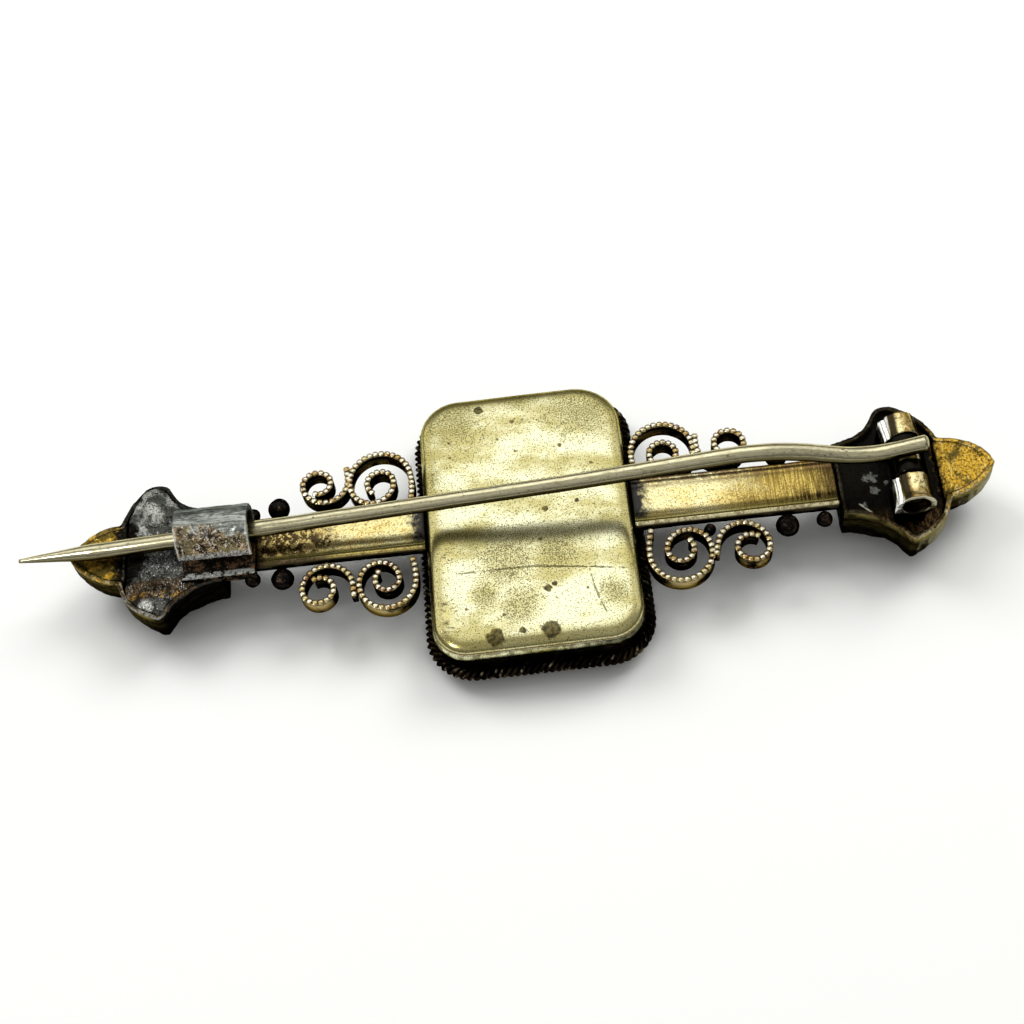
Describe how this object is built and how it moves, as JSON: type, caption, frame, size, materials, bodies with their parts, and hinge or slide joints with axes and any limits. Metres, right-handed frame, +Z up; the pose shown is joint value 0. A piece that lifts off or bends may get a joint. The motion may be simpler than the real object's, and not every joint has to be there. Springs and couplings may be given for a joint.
{
  "type": "bar brooch",
  "caption": "Metal bar brooch with a pillow-backed middle plaque, beaded scrolls and trefoil ends, lying face down with its hinged pin and hook catch on top.",
  "frame": {"origin": "centre of the plaque's flat front face, on which the brooch lies", "axes": "+X along the bar towards the hinge end, +Y across the bar, +Z up from the front face to the pin side"},
  "size_m": [0.059, 0.0192, 0.0081],
  "materials": {
    "plaque_gilt": "satin, pale greenish gold with dark specks and stains",
    "front_metal": "dark oxidised",
    "rope_wire": "dark oxidised with worn high spots",
    "bar_gilt": "satin, mottled with brown tarnish",
    "end_casting": "rough cast, dark in the hollows",
    "solder": "rough grey solder",
    "beaded_wire": "bright beads over dark sides",
    "dark_ball": "nearly black with coppery glints",
    "catch_sheet": "grey sheet, worn to copper brown on its front",
    "hinge_tube": "polished with brown tarnish",
    "rivet_wire": "dark oxidised",
    "stem_wire": "satin nickel silver with lengthwise highlights"
  },
  "bodies": {
    "brooch": {"plaque_back": "plaque_gilt", "plaque_front": "front_metal", "plaque_rope": "rope_wire", "bar_left": "bar_gilt", "bar_right": "bar_gilt", "terminal_left": "end_casting", "terminal_right": "end_casting", "solder_left": "solder", "scrolls_upper_left": "beaded_wire", "scrolls_upper_right": "beaded_wire", "scrolls_lower_left": "beaded_wire", "scrolls_lower_right": "beaded_wire", "ball_upper_left": "dark_ball", "ball_upper_right": "dark_ball", "ball_lower_left": "dark_ball", "ball_lower_right": "dark_ball", "small_ball_upper_left": "dark_ball", "small_ball_upper_right": "dark_ball", "small_ball_lower_left": "dark_ball", "small_ball_lower_right": "dark_ball", "ball_between_scrolls": "dark_ball", "catch": "catch_sheet", "knuckle_upper": "hinge_tube", "knuckle_lower": "hinge_tube", "rivet": "rivet_wire"},
    "pin": {"pin_stem": "stem_wire"}
  },
  "joints": [
    {"name": "pin_swing", "type": "hinge", "parent": "brooch", "child": "pin", "pos_m": [0.0226, 0, 0.00495], "axis": [0, 1, 0], "range_deg": [0, 85]}
  ]
}
